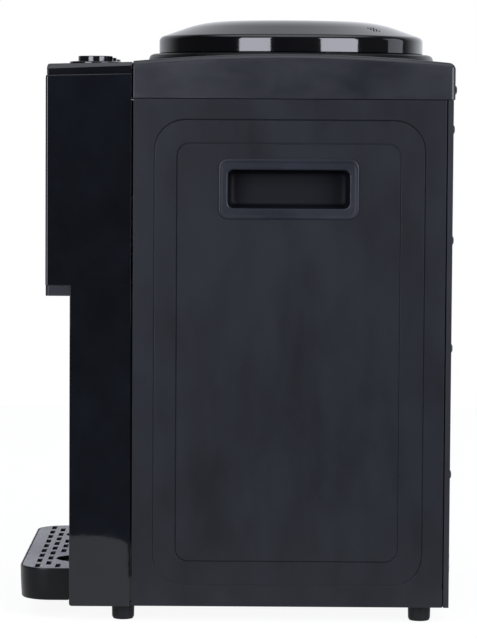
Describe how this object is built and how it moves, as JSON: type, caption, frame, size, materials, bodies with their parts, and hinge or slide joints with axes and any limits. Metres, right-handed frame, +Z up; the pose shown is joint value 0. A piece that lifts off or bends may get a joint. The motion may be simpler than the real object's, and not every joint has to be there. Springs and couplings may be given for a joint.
{
  "type": "countertop water dispenser",
  "caption": "Countertop water dispenser with push-button taps, a cup bay with pull-out drip tray, side handle pockets and a domed lid over the bottle receiver.",
  "frame": {"origin": "on the table, under the middle of the outline", "axes": "+Z up the dispenser, -Y out of its front, +X to the right of a person who faces the front, which is the side of the cold tap"},
  "size_m": [0.3124, 0.376, 0.518],
  "materials": {
    "panel_matte": "fine matt texture",
    "cover_matte": "fine matt texture",
    "fascia_gloss": "high gloss",
    "cap_satin": "satin",
    "handle_plastic": "fine matt texture",
    "lid_gloss": "high gloss",
    "collar_plastic": "satin",
    "button_gloss": "gloss",
    "tray_plastic": "satin",
    "grate_metallic": "silver-grey speckled",
    "foot_rubber": "moulded rubber",
    "pan_steel": "black powder coat",
    "back_sheet": "black powder coat",
    "screw_steel": "black zinc",
    "tap_plastic": "natural food-grade plastic",
    "spring_steel": "bright wire",
    "lever_zinc": "die cast",
    "tank_steel": "satin stainless",
    "foam_white": "expanded foam",
    "white_plastic": "natural",
    "heater_mica": "heat-stained band",
    "ceramic": "fired ceramic",
    "block_aluminium": "milled",
    "fan_plastic": "black moulded",
    "board_green": "solder-mask green",
    "switch_black": "gloss",
    "rocker_red": "gloss",
    "rocker_green": "gloss",
    "hose_silicone": "translucent silicone",
    "lens_set": "coloured lens"
  },
  "bodies": {
    "cabinet": {"base_pan": "pan_steel", "foot_front_right": "foot_rubber", "foot_front_left": "foot_rubber", "foot_rear_right": "foot_rubber", "foot_rear_left": "foot_rubber", "side_panel_right": "panel_matte", "side_panel_left": "panel_matte", "handle_cup_right": "handle_plastic", "handle_cup_left": "handle_plastic", "top_cover": "cover_matte", "front_fascia": "fascia_gloss", "button_panel": "cap_satin", "head_underplate": "cap_satin", "splash_panel": "fascia_gloss", "indicator_lights": "lens_set", "back_panel": "back_sheet", "back_screws": "screw_steel", "button_ring_cold": "cap_satin", "button_ring_room": "cap_satin", "button_ring_hot": "cap_satin", "button_spring_cold": "spring_steel", "button_spring_room": "spring_steel", "button_spring_hot": "spring_steel", "tap_body_cold": "tap_plastic", "tap_body_room": "tap_plastic", "tap_body_hot": "tap_plastic", "lever_pins": "spring_steel", "cold_tank": "tank_steel", "cold_tank_lid": "white_plastic", "cold_tank_foam": "foam_white", "baffle": "white_plastic", "hot_tank": "tank_steel", "heater_band": "heater_mica", "thermostats": "ceramic", "cold_block": "block_aluminium", "peltier": "ceramic", "heat_sink": "block_aluminium", "fan_frame": "fan_plastic", "power_board": "board_green", "switch_housing": "switch_black", "mains_inlet": "switch_black", "drain_outlet": "tap_plastic", "water_hoses": "hose_silicone"},
    "push_button_cold": {"button_cold": "button_gloss"},
    "plunger_cold": {"valve_plunger_cold": "white_plastic"},
    "lever_cold": {"tap_lever_cold": "lever_zinc"},
    "push_button_room": {"button_room": "button_gloss"},
    "plunger_room": {"valve_plunger_room": "white_plastic"},
    "lever_room": {"tap_lever_room": "lever_zinc"},
    "push_button_hot": {"button_hot": "button_gloss"},
    "plunger_hot": {"valve_plunger_hot": "white_plastic"},
    "lever_hot": {"tap_lever_hot": "lever_zinc"},
    "receiver": {"bottle_receiver": "collar_plastic", "feed_spike": "white_plastic"},
    "lid_body": {"lid": "lid_gloss"},
    "tray": {"drip_tray": "tray_plastic"},
    "grate": {"drip_grate": "grate_metallic"},
    "fan": {"fan_rotor": "fan_plastic"},
    "switch_hot": {"rocker_hot": "rocker_red"},
    "switch_cold": {"rocker_cold": "rocker_green"}
  },
  "joints": [
    {"name": "press_cold", "type": "slide", "parent": "cabinet", "child": "push_button_cold", "axis": [0, 0, -1], "range_m": [0, 0.005], "stiffness_N_per_m": 400, "springref_m": -0.002, "deforming": ["button_spring_cold"]},
    {"name": "lever_tilt_cold", "type": "hinge", "parent": "cabinet", "child": "lever_cold", "pos_m": [0.0865, -0.0951, 0.36], "axis": [1, 0, 0], "range_deg": [0, 9.6]},
    {"name": "valve_drop_cold", "type": "slide", "parent": "cabinet", "child": "plunger_cold", "axis": [0, 0, -1], "range_m": [0, 0.0026]},
    {"name": "press_room", "type": "slide", "parent": "cabinet", "child": "push_button_room", "axis": [0, 0, -1], "range_m": [0, 0.005], "stiffness_N_per_m": 400, "springref_m": -0.002, "deforming": ["button_spring_room"]},
    {"name": "lever_tilt_room", "type": "hinge", "parent": "cabinet", "child": "lever_room", "pos_m": [0, -0.0951, 0.36], "axis": [1, 0, 0], "range_deg": [0, 9.6]},
    {"name": "valve_drop_room", "type": "slide", "parent": "cabinet", "child": "plunger_room", "axis": [0, 0, -1], "range_m": [0, 0.0026]},
    {"name": "press_hot", "type": "slide", "parent": "cabinet", "child": "push_button_hot", "axis": [0, 0, -1], "range_m": [0, 0.005], "stiffness_N_per_m": 400, "springref_m": -0.002, "deforming": ["button_spring_hot"]},
    {"name": "lever_tilt_hot", "type": "hinge", "parent": "cabinet", "child": "lever_hot", "pos_m": [-0.0865, -0.0951, 0.36], "axis": [1, 0, 0], "range_deg": [0, 9.6]},
    {"name": "valve_drop_hot", "type": "slide", "parent": "cabinet", "child": "plunger_hot", "axis": [0, 0, -1], "range_m": [0, 0.0026]},
    {"name": "receiver_lift", "type": "slide", "parent": "cabinet", "child": "receiver", "axis": [0, 0, 1], "range_m": [0, 0.12]},
    {"name": "lid_lift", "type": "slide", "parent": "receiver", "child": "lid_body", "axis": [0, 0, 1], "range_m": [0, 0.15]},
    {"name": "tray_pull", "type": "slide", "parent": "cabinet", "child": "tray", "axis": [0, -1, 0], "range_m": [0, 0.13]},
    {"name": "grate_lift", "type": "slide", "parent": "tray", "child": "grate", "axis": [0, 0, 1], "range_m": [0, 0.05]},
    {"name": "fan_spin", "type": "hinge", "parent": "cabinet", "child": "fan", "pos_m": [0, 0.164, 0.326], "axis": [0, 1, 0], "continuous": true},
    {"name": "rocker_hot_tilt", "type": "hinge", "parent": "cabinet", "child": "switch_hot", "pos_m": [-0.062, 0.1785, 0.078], "axis": [1, 0, 0], "range_deg": [0, 18]},
    {"name": "rocker_cold_tilt", "type": "hinge", "parent": "cabinet", "child": "switch_cold", "pos_m": [-0.038, 0.1785, 0.078], "axis": [1, 0, 0], "range_deg": [0, 18]}
  ],
  "couplings": [
    {"joint": "lever_tilt_cold", "follows": "press_cold", "rad_per_m": 33.333},
    {"joint": "valve_drop_cold", "follows": "press_cold", "ratio": 0.5},
    {"joint": "lever_tilt_room", "follows": "press_room", "rad_per_m": 33.333},
    {"joint": "valve_drop_room", "follows": "press_room", "ratio": 0.5},
    {"joint": "lever_tilt_hot", "follows": "press_hot", "rad_per_m": 33.333},
    {"joint": "valve_drop_hot", "follows": "press_hot", "ratio": 0.5}
  ]
}
